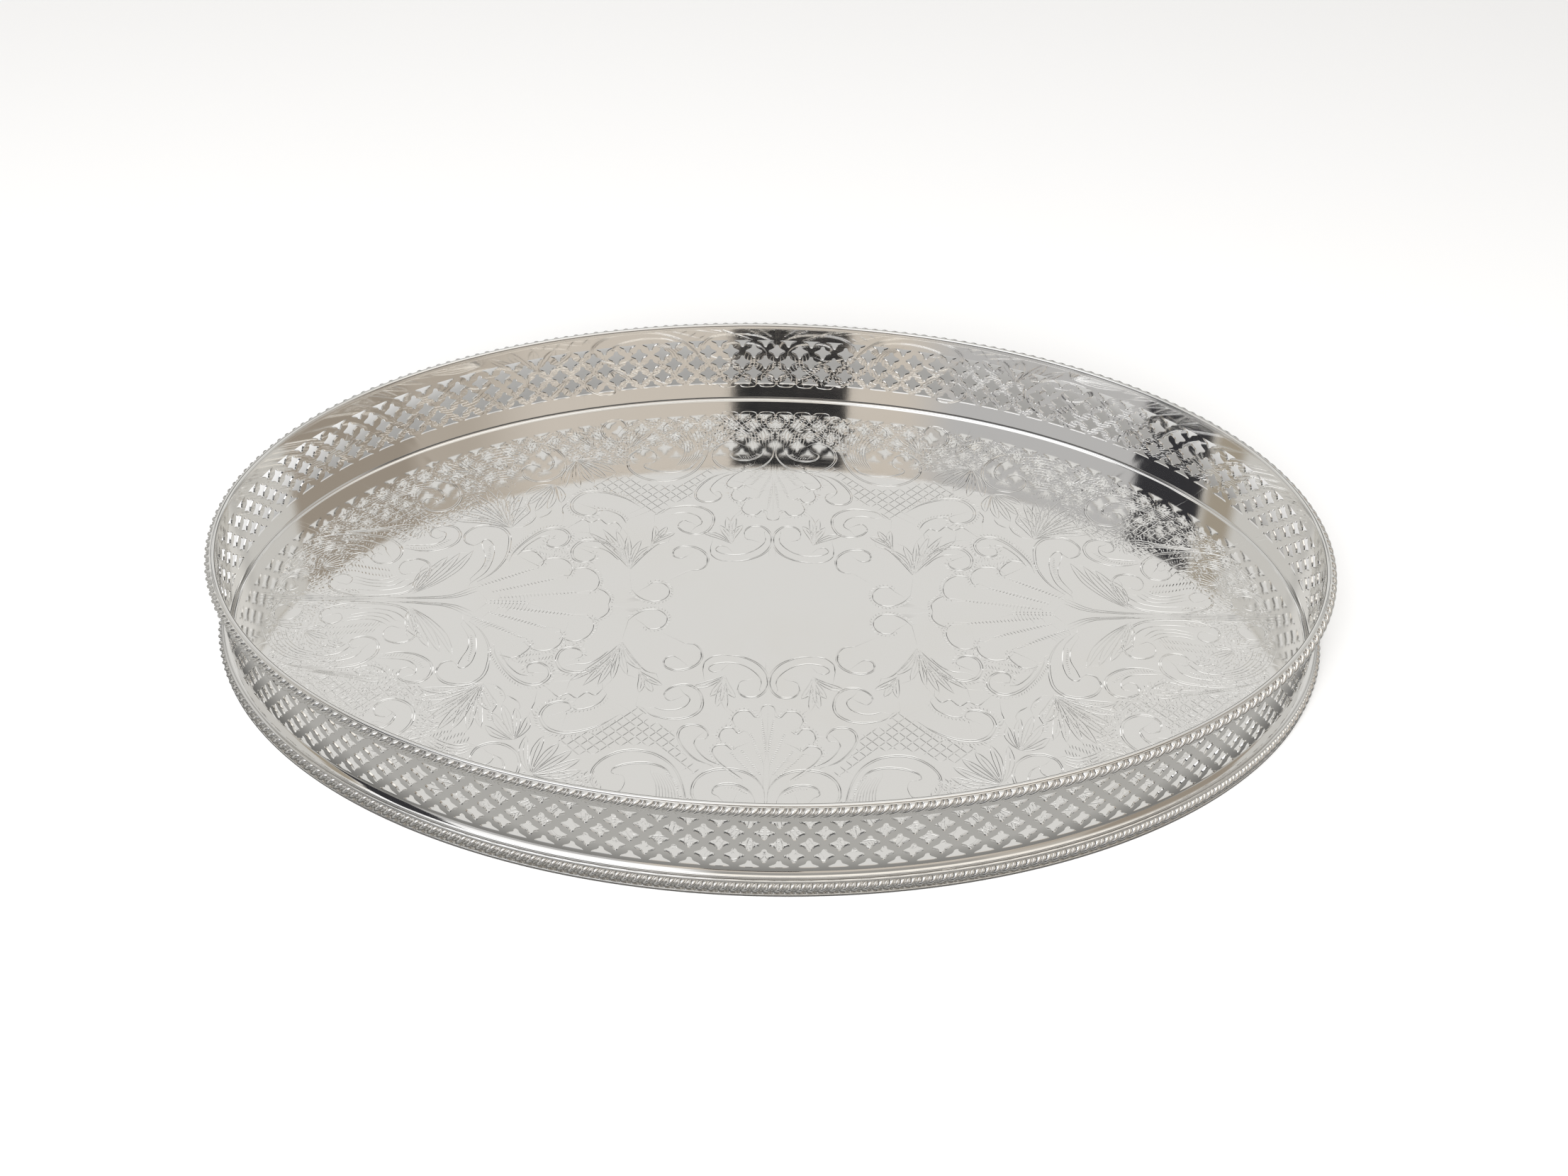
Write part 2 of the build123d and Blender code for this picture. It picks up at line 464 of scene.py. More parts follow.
def base_rope():
    """Broader rope border standing on the ledge of the foot wire."""
    out = base_rope_high[0] - WALL_A
    foot, head = base_rope_low[2], base_rope_high[2]
    middle = 1.5
    rope_ring("base_rope_border", "base_rope", BASE_TURNS, (middle, (foot + head) / 2.0),
              (out - middle, (head - foot) / 2.0), 0.8, [(0.0, head), (0.0, foot)])


def cap_ring():
    """Narrow half-round wire on the gallery's top edge, grooved below for the strip."""
    out = cap_high[0] - WALL_A
    low, high = cap_low[2], cap_high[2]
    crown = 0.8                         # height of its rounded top
    middle = (out + CAP_INNER) / 2.0
    half = (out - CAP_INNER) / 2.0
    profile = [(out, low), (out, high - crown)]
    profile += arc((middle, high - crown), (half, crown), 0.0, 180.0, 13)[1:]
    profile += [(CAP_INNER, low + 0.2), (CAP_INNER + 0.15, low), (-WALL_T, low), (-WALL_T, WALL_TOP),
                (0.0, WALL_TOP), (0.0, low)]
    swept_ring("top_cap_wire", profile, CAP_SILVER, ["top_cap"])


def moulding_ring():
    """Two rounded reeds with a sharp line between them."""
    low, high = moulding_low[2], moulding_high[2]
    step = (high - low) / 2.0
    outer = moulding_high[0] - WALL_A
    inner = outer - 1.0
    bulge = 0.6
    profile = [(0.0, low), (outer - 0.4, low)]
    profile += arc((outer - bulge, low + step / 2.0), (bulge, step / 2.0), -80.0, 85.0, 8)
    profile += arc((inner - bulge, low + 1.5 * step), (bulge, step / 2.0), -70.0, 88.0, 8)
    profile += [(0.35, high), (0.0, high)]
    swept_ring("base_reeds", profile, BORDER_SILVER, ["base_moulding"])


def foot_ring():
    """Smooth wire that the tray stands on, with a ledge for the base rope and a step for the strip."""
    ledge = base_rope_low[2]
    nose = 0.5                          # width of its rounded outer side
    flat = foot_high[0] - WALL_A - nose
    profile = [(FOOT_INNER + 0.3, 0.0), (flat, 0.0)]
    profile += arc((flat, ledge / 2.0), (nose, ledge / 2.0), -75.0, 75.0, 7)
    profile += [(flat, ledge), (0.0, ledge), (0.0, foot_high[2]), (FOOT_INNER, foot_high[2]),
                (FOOT_INNER, 0.3)]
    swept_ring("foot_wire_ring", profile, FOOT_SILVER, ["foot_wire"])


def fillet_ring():
    """Solder drawn into the corner: a hollow curve, slightly uneven along its run."""
    low, high = fillet_low[2], fillet_high[2]
    size = high - sheet_high[2]
    profile = [(-WALL_T, low), (-WALL_T - 0.02, high)]
    profile += arc((-WALL_T - size, high), size - 0.02, 0.0, -90.0, 9)[1:]
    profile += [(-WALL_T - size, sheet_high[2])]

    def wander(along, grow, height):
        sway = 0.10 * np.sin(along / 17.0) + 0.06 * np.sin(along / 6.1 + 1.3)
        inward = (-WALL_T - grow) / size
        return grow - sway * inward * 0.6, height

    swept_ring("floor_corner_solder", profile, STRIP_SILVER, ["solder_fillet"], wander)


# ---- Chased floor. Lines are drawn in one quarter, x along the long axis and y along the short one,
# in millimetres from the middle of the tray. The other three quarters are its mirror images.
LINE_HALF = 0.31                    # half width of a full chased line
LINE_DEPTH = 0.115
LEAF_HALF = 0.27                    # the same for leaf outlines, trellis and long parallel lines
LEAF_DEPTH = 0.095
FINE_HALF = 0.24                    # the same for veins, ticks and hatching
FINE_DEPTH = 0.080
STEP = 0.75                         # spacing of the points along a line
TICK_GAP = 0.75                     # clear metal between a line and its ticks
RASTER = 0.05                       # cell of the depth map


def curve(points, step=STEP):
    """Smooth line through a few points, in equal steps."""
    p = np.array(points, float)
    p = np.vstack([2 * p[0] - p[1], p, 2 * p[-1] - p[-2]])
    t = np.linspace(0.0, 1.0, 12, endpoint=False)[:, None]
    runs = []
    for a, b, c, d in zip(p, p[1:], p[2:], p[3:]):
        runs.append(0.5 * (2 * b + (c - a) * t + (2 * a - 5 * b + 4 * c - d) * t ** 2
                           + (3 * b - a - 3 * c + d) * t ** 3))
    fine = np.vstack(runs + [p[-2:-1]])
    run = np.concatenate([[0.0], np.cumsum(np.hypot(*np.diff(fine, axis=0).T))])
    count = max(2, int(round(run[-1] / step)) + 1)
    at = np.linspace(0.0, run[-1], count)
    return np.stack([np.interp(at, run, fine[:, 0]), np.interp(at, run, fine[:, 1])], axis=1)


def normals(line):
    """Unit vectors to the left of a line."""
    along = np.gradient(line, axis=0)
    along /= np.maximum(np.hypot(along[:, 0], along[:, 1]), 1e-9)[:, None]
    return np.stack([-along[:, 1], along[:, 0]], axis=1)


class Chasing:
    """Everything cut into one quarter of the floor."""

    def __init__(self):
        self.lines = []

    def cut(self, line, half=LINE_HALF, depth=LINE_DEPTH):
        self.lines.append((np.asarray(line, float), half, depth))

    def scroll(self, points, ticks=0.0, echo=0.0):
        """A full line through points. ticks adds short marks to its left, echo a thin line beside it."""
        line = curve(points)
        self.cut(line)
        if ticks:
            self.ticks(line[2:-2], ticks)
        if echo:
            fade = np.sin(np.linspace(0.0, math.pi, len(line)))[:, None]
            self.cut((line + normals(line) * echo * fade)[2:-2], FINE_HALF, FINE_DEPTH)
        return line

    def ticks(self, line, reach, every=1.7):
        """Short slanted marks off one side of a line. A negative reach puts them on its right."""
        step = max(1, int(round(every / STEP)))
        side = normals(line)
        along = np.stack([side[:, 1], -side[:, 0]], axis=1)
        for k in range(0, len(line), step):
            foot = line[k] + side[k] * math.copysign(TICK_GAP, reach)
            tip = foot + side[k] * reach + along[k] * abs(reach) * 0.7
            self.cut([foot, (foot + tip) / 2.0, tip], FINE_HALF * 0.85, FINE_DEPTH)

    def flute(self, points, size, every=1.25, half=FINE_HALF, depth=FINE_DEPTH):
        """A row of short cross cuts, longer in the middle of the row."""
        line = curve(points, every)
        side = normals(line)
        for k, (here, across) in enumerate(zip(line, side)):
            grow = 0.45 + 0.55 * math.sin(math.pi * k / max(1, len(line) - 1))
            lean = np.array([across[1], -across[0]]) * size * 0.35
            self.cut([here - across * size * grow / 2.0 - lean / 2.0, here,
                      here + across * size * grow / 2.0 + lean / 2.0], half, depth)

    def flute_rows(self, rows, *how):
        """Straight rows of cross cuts, each given by its foot, its tip and the size of its cuts."""
        for foot, tip, size in rows:
            middle = ((foot[0] + tip[0]) / 2.0, (foot[1] + tip[1]) / 2.0)
            self.flute([foot, middle, tip], size, *how)

    def leaf(self, root, tip, belly, bend=0.0, beaded=False):
        """A pointed leaf from root to tip with a vein. belly is its half width, bend its sideways sweep."""
        root, tip = np.array(root, float), np.array(tip, float)
        axis = tip - root
        side = np.array([-axis[1], axis[0]]) / np.hypot(*axis)
        middle = [root + axis * t + side * bend * math.sin(math.pi * t) for t in (0.0, 0.3, 0.62, 0.86, 1.0)]
        swell = (0.0, 0.62, 1.0, 0.66, 0.0)
        for sign in (-1.0, 1.0):
            edge = [m + side * sign * belly * s for m, s in zip(middle, swell)]
            self.cut(curve(edge), LEAF_HALF, LEAF_DEPTH)
        self.cut(curve(middle[:4]), FINE_HALF, FINE_DEPTH)
        if beaded:
            self.flute(middle[1:4], 0.9, 1.3)

    def fan(self, root, tips, belly, bend, beaded=False):
        """A leaf to each tip, sweeping one way at the first and the other way at the last."""
        for k, tip in enumerate(tips):
            turn = 2.0 * k / (len(tips) - 1) - 1.0
            self.leaf(root, tip, belly, bend=bend * turn, beaded=beaded)

    def plume(self, first, last, count, half=LEAF_HALF, depth=LEAF_DEPTH):
        """Lines that change evenly from the first curve to the last."""
        a, b = np.array(first, float), np.array(last, float)
        for k in range(count):
            t = k / (count - 1)
            self.cut(curve(a + (b - a) * t), half, depth)

    def hatch(self, polygon, pitch, angle, half=FINE_HALF, depth=FINE_DEPTH, broken=0.0):
        """Straight parallel lines inside a polygon. broken is the length of a gap after each such run."""
        polygon = np.array(polygon, float)
        turn = math.radians(angle)
        along = np.array([math.cos(turn), math.sin(turn)])
        across = np.array([-along[1], along[0]])
        low, high = (polygon @ across).min(), (polygon @ across).max()
        start, end = (polygon @ along).min(), (polygon @ along).max()
        for row, offset in enumerate(np.arange(low + pitch / 2.0, high, pitch)):
            at = np.arange(start, end, 0.4)
            dots = at[:, None] * along + offset * across
            kept = inside(dots, polygon)
            if broken:
                kept &= ((at + 0.37 * broken * row) % (2.0 * broken)) < broken * 1.3
            edges = np.flatnonzero(np.diff(np.concatenate([[0], kept.astype(int), [0]])))
            for a, b in zip(edges[::2], edges[1::2]):
                if b - a > 3:
                    self.cut(curve([dots[a], dots[(a + b) // 2], dots[b - 1]]), half, depth)

    def trellis(self, polygon, pitch):
        self.hatch(polygon, pitch, 45.0, LEAF_HALF, LEAF_DEPTH)
        self.hatch(polygon, pitch, -45.0, LEAF_HALF, LEAF_DEPTH)


def rim_scrolls(c):
    """Scrolls, leaves and sprays along the outer edge, from the short axis round to the long one."""
    c.scroll([(0.5, 120), (1.2, 112), (5.5, 105), (12, 101.5), (20, 101), (27, 104), (31, 110), (31, 117),
              (27, 123), (21, 125), (16, 122)], echo=1.1)
    c.scroll([(4.5, 119), (7, 113.5), (12, 110), (17.5, 109.5), (21.5, 111.5), (22.5, 115), (20, 117)],
             echo=0.9)
    c.flute([(8, 115), (12, 112.6), (17, 112)], 1.8)
    c.plume([(1.5, 125), (2, 134), (5, 142), (3, 149)], [(14, 122), (16, 131), (22, 138), (31, 148)], 9)
    for x, y, w in ((0, 150, 9), (9.5, 150, 9), (19, 149.5, 9.5), (28, 146.5, 6)):
        c.cut(curve([(x, y - 2), (x + w * 0.2, y + 0.6), (x + w * 0.8, y + 0.6), (x + w, y - 2.4)]))
    c.scroll([(33, 146), (32.6, 134), (33.2, 120), (35.5, 109), (40, 99.5), (47, 93.5), (55, 91.3),
              (63, 92.3), (70, 97), (74, 104), (73, 112), (68, 117), (62, 116), (59.5, 111), (60.5, 106.5),
              (64, 105.8)], echo=1.0)
    c.scroll([(39, 108), (43, 101.5), (50, 98.6), (58, 99), (64, 101.5), (65.5, 104.5), (63, 106)],
             echo=0.9)
    c.flute([(36.5, 118), (37.8, 110), (42, 104)], 1.5)
    c.plume([(41, 106), (37, 115), (36.5, 126), (38, 139)], [(49, 104), (46, 113), (47, 124), (54, 133)], 8)
    c.scroll([(36, 141), (44, 139), (52, 142), (57, 137), (57, 131.5), (53, 130), (50.5, 133)], ticks=1.6)
    c.scroll([(73, 124), (80, 122.5), (87, 126), (89.5, 133), (86, 140), (80, 141.5), (77, 136.5),
              (79, 132.5)], echo=1.0)
    c.fan((74, 118), [(60, 126), (63, 132), (68, 135), (73, 133)], 1.7, 1.0)
    c.fan((99.5, 107), [(78, 104), (79, 97.5), (83, 92.5), (89, 88.5), (96, 84.5), (103.5, 84.5)], 1.9, 2.0)
    c.fan((92, 118), [(95, 131), (102, 131), (109, 129)], 1.9, 1.0)
    c.scroll([(131, 120), (121, 120.5), (112, 116.5), (106, 110), (104, 102), (105.8, 95), (111, 90),
              (118, 88.8), (124, 92), (126, 98), (122.5, 102.5), (117.5, 101), (116, 97), (119, 94.5)],
             echo=1.1)
    c.scroll([(119, 115), (113.5, 111), (110.6, 104.5), (112, 99), (116, 96)], echo=0.8)
    c.plume([(122, 116), (132, 117), (143, 114.5), (152, 107)], [(124, 102), (131, 104), (140, 101),
             (147, 95)], 7)
    c.fan((147, 95), [(160, 106), (166, 101), (170, 94), (166, 90)], 1.8, 1.2)
    c.scroll([(146, 93), (149, 95.5), (153, 93), (153, 88.5), (149, 87.5), (147.8, 90.5)])
    c.fan((108.5, 87), [(104, 73), (110, 68), (116, 66), (120, 71), (122, 79)], 1.8, 1.6)
    c.plume([(126, 94), (132, 96.5), (139, 95), (146, 90)], [(127, 90), (133, 91), (139, 89), (144, 86)], 4)
    c.scroll([(180, 85.5), (171, 88), (162, 87.5), (156, 83.5), (153, 76.5), (154.5, 69), (160, 64.5),
              (167, 64.5), (171.5, 69), (170, 74), (165, 75), (162.5, 72.5)], echo=1.1)
    c.scroll([(174, 83), (167, 82.5), (162.5, 79), (161.5, 74), (165, 70.5)], echo=0.9)
    c.plume([(170, 86), (181, 82), (190, 76), (198, 68)], [(168, 78), (176, 78), (184, 75), (190, 70)], 5)
    c.hatch([(127, 92), (144, 87), (147, 83), (141, 81.5), (134, 82), (128, 84)], 1.25, 78.0, broken=2.6)


def middle_scrolls(c):
    """The open-work of scrolls, leaf fans and trellis inside the rim scrolls."""
    c.trellis([(26, 104), (33, 105), (37.5, 97), (46, 90), (55, 88.6), (64, 90), (72, 94), (79, 96),
               (91, 86), (84, 83.5), (72, 78.5), (64, 70), (57, 64), (50, 74), (41, 79), (38.5, 86),
               (34, 95)], 4.1)
    c.scroll([(23, 99.8), (30, 96), (35.2, 90), (38, 84), (37.5, 79), (33.8, 76.3), (28.8, 77),
              (25.8, 80.5), (26.5, 84), (29.5, 84.5)], echo=0.9)
    c.scroll([(18.8, 99.6), (25, 96.3), (29.3, 91.5), (31.4, 86.5), (30, 83)])
    c.scroll([(54.5, 66.5), (50, 71), (41, 73), (33.8, 71.5), (29.2, 67), (28.6, 60), (31.5, 53.5),
              (37, 51), (43, 53), (46, 57.5), (43.5, 61.5), (39.5, 60)], echo=1.0)
    c.scroll([(50, 66), (43, 67.5), (36.5, 65), (34.5, 60), (37.5, 56.5)])
    c.fan((58, 43), [(47, 52), (51, 56.5), (57, 57)], 1.5, 1.0)
    c.scroll([(21, 32), (12.5, 33.2), (5, 37.8), (1, 45), (1.2, 52.5), (5, 57.6), (10.4, 57.8), (13.6, 54),
              (12.6, 49), (9, 47.6)], echo=0.9)
    c.scroll([(4, 53.5), (3.4, 48), (6, 43), (11, 38.7), (17, 36.8), (23.6, 37.6), (27, 40.5), (25, 43.2),
              (21.5, 42.2)])
    c.scroll([(29.5, 42), (29, 37), (25.5, 33.2), (21, 32)])
    c.fan((19.5, 45), [(14.5, 59), (18.5, 66.5), (22.5, 65), (25.6, 58.5), (33.5, 52.8)], 1.6, 1.4)
    c.scroll([(38.5, 25), (33.5, 26), (30.8, 30.5), (31.5, 36.5), (36, 40.8), (42, 42), (46.5, 39.5),
              (46.6, 35.3), (43, 33.6), (40, 35.5)], echo=0.9)
    c.scroll([(50, 45), (55, 43), (60, 36.5), (64.5, 29), (66.5, 25)])
    c.scroll([(57.8, 13), (55, 15.9), (50, 15), (47.6, 11), (48, 6.5), (51.5, 3.2), (56.5, 3), (61.5, 6),
              (65, 10.5)], ticks=-1.2)
    c.fan((67, 25), [(57, 42.5), (63, 46), (69.5, 49.5), (75.5, 53), (82, 53.5), (88, 50.5)], 1.5, 2.0)
    c.scroll([(66, 72), (73, 78), (82, 82), (90, 82.6), (96, 79.6), (99.4, 73), (97.6, 66.8), (92.5, 63.5),
              (87.5, 64.2), (86, 68), (89, 70)], ticks=1.5, echo=-1.3)
    c.scroll([(71, 58.5), (74, 64), (80, 67.6), (87, 68.3)], ticks=1.2)
    c.scroll([(73, 55), (76, 59), (80, 57.5), (84, 61), (88, 58.5), (92, 60.5), (96, 57)])
    c.scroll([(68, 27), (73, 37), (79, 43.4), (86, 45.8), (92.5, 44), (95.8, 38), (94.5, 31.8), (90, 29),
              (85.5, 30.5), (84, 34.5), (87.5, 37)], ticks=1.5, echo=-1.2)
    c.scroll([(72.5, 31), (77, 36.5), (82, 39.6), (87, 40)])
    c.scroll([(124.4, 28.4), (123, 35), (118.8, 43), (112.5, 50.5), (106, 54), (100, 52.8), (96.9, 47.8),
              (98.6, 41.8), (103.6, 39), (107.8, 41.5), (107, 45.6), (103.8, 46)], ticks=-1.5, echo=1.2)
    c.scroll([(121, 33), (117, 40.5), (111.5, 46.4), (107, 48)])
    c.hatch([(96, 38), (100, 38.5), (105, 37), (111, 41), (116, 38), (110, 34), (100, 33), (96, 34)],
            1.25, 70.0, broken=2.4)
    c.scroll([(115, 62), (117, 57.5), (120.5, 54)], ticks=1.1)
    c.scroll([(108, 67), (110, 63.5), (113.5, 61)])
    c.scroll([(101, 73), (103, 69), (102, 64)])
    c.fan((126, 53), [(120.5, 70), (123.5, 80.5), (129, 82), (135.5, 81.5), (142, 82.5), (149, 79),
           (150.5, 72), (154.5, 64.5), (153, 57.5)], 2.0, 2.6, beaded=True)
    c.scroll([(118, 77), (120, 72), (118.5, 66), (122, 60), (125.5, 54)], ticks=1.4)
    c.scroll([(137.5, 13.4), (131, 20), (126.4, 29), (125, 38), (125.8, 47.5), (130, 53.3), (137.2, 55),
              (144, 53), (148, 47.5), (146.6, 41.8), (142.2, 39.6), (138.8, 42.5)], echo=-1.2)
    c.scroll([(140.5, 12.4), (134.2, 21), (132, 31.5), (133, 40), (136, 44), (138.8, 42.6), (137.8, 37.5),
              (135.8, 31), (136.6, 24), (141, 15.5)])
    c.flute([(134.6, 39), (133.9, 31), (135.4, 23)], 1.5)


def end_scrolls(c):
    """The crowded scrolls and leaves towards the ends of the tray."""
    c.trellis([(172.5, 74), (185, 71.5), (196, 62), (209, 51), (203, 49.4), (195, 49.5), (181, 55),
               (172, 56), (165, 54.4), (156, 57), (151, 57), (151, 62), (160, 63), (170, 63.4), (173, 68)],
              4.1)
    c.scroll([(175, 36.5), (166, 34.6), (157.5, 35.8), (150.8, 40.8), (149.4, 47.6), (152.4, 52.8),
              (158, 54), (163.6, 51.4), (164.2, 46.6), (160.8, 44.2), (157.6, 46)], echo=-1.0)
    c.scroll([(175, 38.6), (167.5, 39), (161, 40), (157.2, 43.6), (157, 48.4), (159.8, 49.6)])
    c.flute([(172, 37), (165, 37), (158.5, 39.5), (154, 44)], 1.6)
    c.scroll([(167.5, 52), (171, 46.5), (177.5, 43.6), (184, 46.3), (181, 50), (186, 52)])
    c.plume([(169, 52.5), (176, 54), (186, 51.5), (206, 47.8)], [(172, 48.5), (179, 48.5), (188, 48.6),
             (204, 46.6)], 4)
    c.scroll([(224, 39), (213, 44.5), (205, 46), (195, 46), (184, 44), (177, 38.5), (175.4, 31.8),
              (178.6, 26), (185, 25), (189.6, 28.8), (187.6, 32.8), (184.5, 31.5)], echo=1.1)
    c.scroll([(204, 42), (192, 41), (185, 37.8), (182.6, 33)])
    c.flute([(202, 39.8), (193, 39), (187, 35.5)], 1.9)
    c.scroll([(188, 31), (192.5, 36), (199, 38), (207, 37)])
    c.scroll([(190, 29), (194, 32.5), (199.5, 31.5), (203, 34)])
    c.plume([(206, 42), (216, 39), (224.5, 32), (230, 22)], [(204, 36), (211, 33.5), (217, 28), (220, 21)],
            6)
    c.flute([(207, 39.8), (216, 36), (223, 29)], 1.2)
    c.fan((211, 22), [(203, 31), (199, 26.5), (202, 20.5)], 1.6, 1.0)
    c.hatch([(180, 23), (189, 25), (197, 29), (199, 22), (207, 18), (196, 19), (178, 14), (177, 19)],
            1.3, 62.0, broken=2.6)
    c.scroll([(168.6, 19), (172.5, 17.8), (175.2, 21.6), (173.6, 26.5), (167.6, 28.6), (162.4, 26.4),
              (160.8, 20), (163.5, 11.5), (170, 5.4), (180, 3.2), (195, 3.2), (204.5, 7.6), (205.4, 13.6),
              (200.4, 17), (195.8, 14.4), (197, 10.2), (201, 10.8)], echo=-1.0)
    c.scroll([(165, 22), (165.6, 15), (171, 9), (180, 6.4), (192, 6.6)])
    c.plume([(171, 14), (176, 10), (184, 9), (193, 11)], [(175, 16.5), (180, 14), (187, 13.5),
             (194, 15.5)], 3)
    c.scroll([(209, 2.6), (214.6, 5.4), (215, 10.4), (218.8, 14.6), (225, 14), (227.2, 9), (223.8, 5),
              (219.6, 7), (221.5, 10)], echo=0.9)
    c.plume([(210, 20), (218, 20.5), (226, 17), (231, 10)], [(213, 17), (219, 17.6), (225, 16),
             (229.5, 9)], 3)
    c.fan((166, 4.5), [(142, 36), (148, 34), (153.5, 31), (158, 25)], 1.9, -3.0)
    c.plume([(139, 9.6), (149, 4), (163, 2.2), (178, 1.2)], [(136, 7.4), (146, 2.6), (160, 1.2),
             (170, 0.7)], 3, FINE_HALF, FINE_DEPTH * 0.8)
    c.plume([(184, 1.5), (200, 1.5), (222, 2.0), (236, 3.2)], [(184, 0.5), (200, 0.5), (222, 0.7),
             (238, 1.0)], 2, FINE_HALF, FINE_DEPTH * 0.8)


def shells(c):
    """Ribbed shells on both axes, with curled lips."""
    c.scroll([(10, 107), (16, 101.5), (20.5, 97), (23.4, 91.5), (22, 88.2), (18, 87.4), (15, 90.2),
              (12.8, 88.6)], ticks=0.9)
    c.scroll([(19.4, 86.4), (20.8, 82), (19, 78), (15.2, 77.3), (12.8, 80.3), (10.2, 79)], ticks=0.9)
    c.scroll([(14, 76.2), (15.4, 71.6), (12.8, 67.4), (8.4, 67), (5.4, 70.6), (2.8, 69.8)], ticks=0.9)
    c.scroll([(0, 62.8), (2.4, 64), (3.2, 66.6)])
    c.flute_rows([((4.5, 106), (15.5, 92), 1.3), ((2.8, 104), (11, 90.5), 1.6),
                  ((1.6, 98), (7.4, 80.5), 1.6), ((0.6, 92), (2.6, 72), 1.3)])
    c.scroll([(121, 35), (114.5, 36.6), (110, 33), (108, 29), (109.2, 25.8), (111.6, 26.8)], ticks=-1.2)
    c.scroll([(109, 28.6), (105.8, 31.2), (100, 31.5), (95.8, 28.8), (94, 24), (95, 19.4), (97.6, 19.8)],
             ticks=-1.2)
    c.scroll([(95, 21), (92.6, 24), (87.5, 25), (82.6, 21.6), (80.6, 15), (82.2, 9.6), (85.2, 9)],
             ticks=-1.2)
    c.scroll([(81, 11), (77, 8.5), (74.6, 4.5), (75, 0)], ticks=-1.2)
    c.flute_rows([((112.5, 23.4), (136, 10.6), 2.0), ((102.5, 16.6), (129, 7), 2.2),
                  ((91, 7.8), (125, 3.2), 2.2), ((112, 0.9), (131, 0.9), 1.4)], 1.7, LINE_HALF, LINE_DEPTH)


PLAIN_FIELDS = (                    # polished fields left inside the scrolls: middle and size
    (16, 112, 14.5), (55, 104, 17), (114, 101, 12.5), (163, 76, 11.5), (82.5, 132.5, 6), (137, 45, 11.5),
    (157, 44.5, 8.5), (184, 35, 9.5), (168, 22.5, 6), (199, 12, 6), (221, 9.5, 5.5),
)


def matting(c, band_a, band_b):
    """Short flowing cuts that fill the ground of the border between its scrolls and leaves."""
    rng = np.random.default_rng(11)
    taken = np.vstack([line for line, _, _ in c.lines])
    cell = 1.05                         # a cut needs a cell of this size with no other line in it
    busy = {tuple(k) for k in np.round(taken / cell).astype(int)}
    pitch = 1.6
    for x in np.arange(0.8, WALL_A, pitch):
        for y in np.arange(0.8, WALL_B, pitch * 0.8):
            spot = np.array([x, y]) + rng.uniform(-0.45, 0.45, 2)
            turn = math.atan2(spot[1] / band_b, spot[0] / band_a)
            ratio = math.hypot(spot[0] / band_a, spot[1] / band_b)
            inner_edge = 0.80 + 0.05 * math.sin(9.0 * turn)
            if not inner_edge < ratio < 0.985:
                continue
            if any(math.hypot(spot[0] - u, spot[1] - v) < size for u, v, size in PLAIN_FIELDS):
                continue
            if tuple(np.round(spot / cell).astype(int)) in busy:
                continue
            lean = turn + 1.1 * math.sin(spot[0] / 9.0 + 0.6) + 0.8 * math.cos(spot[1] / 7.0)
            reach = rng.uniform(0.8, 1.7)
            aim = np.array([math.cos(lean), math.sin(lean)])
            side = np.array([-aim[1], aim[0]]) * rng.uniform(-0.35, 0.35)
            c.cut([spot - aim * reach, spot + side, spot + aim * reach], LEAF_HALF, LEAF_DEPTH)


def chased_lines():
    c = Chasing()
    rim_scrolls(c)
    middle_scrolls(c)
    end_scrolls(c)
    shells(c)
    matting(c, WALL_A - 13.0, WALL_B - 13.0)
    return c.lines


def taper(count):
    """Share of full width and depth along a line, falling at both ends."""
    t = np.linspace(0.0, 1.0, count)
    return np.clip(0.30 + 4.5 * np.minimum(t, 1.0 - t), 0.0, 1.0)


def depth_map(lines):
    """Depth of the chasing on a fine grid over the quarter, with the deepest line kept at a crossing."""
    shape = int(WALL_A / RASTER) + 2, int(WALL_B / RASTER) + 2
    deep = np.zeros(shape, np.float32)
    for line, half, depth in lines:
        share = taper(len(line))
        for k in range(len(line) - 1):
            a, b = line[k], line[k + 1]
            low = np.maximum(np.floor((np.minimum(a, b) - half) / RASTER).astype(int), 0)
            high = np.minimum(np.ceil((np.maximum(a, b) + half) / RASTER).astype(int) + 1, shape)
            if (high <= low).any():
                continue
            x = np.arange(low[0], high[0])[:, None] * RASTER - a[0]
            y = np.arange(low[1], high[1])[None, :] * RASTER - a[1]
            step = b - a
            t = np.clip((x * step[0] + y * step[1]) / max(step @ step, 1e-9), 0.0, 1.0)
            away = np.hypot(x - t * step[0], y - t * step[1])
            full = share[k] + (share[k + 1] - share[k]) * t
            groove = depth * full * np.clip(1.0 - away / (half * full), 0.0, 1.0).astype(np.float32)
            patch = deep[low[0]:high[0], low[1]:high[1]]
            np.maximum(patch, groove, out=patch)
    return deep


def sample(deep, points):
    """Depth at points, between the grid's cells."""
    at = np.abs(points) / RASTER
    cell = np.minimum(at.astype(int), np.array(deep.shape) - 2)
    fx, fy = (at - cell).T
    i, j = cell.T
    return (deep[i, j] * (1 - fx) * (1 - fy) + deep[i + 1, j] * fx * (1 - fy)
            + deep[i, j + 1] * (1 - fx) * fy + deep[i + 1, j + 1] * fx * fy)


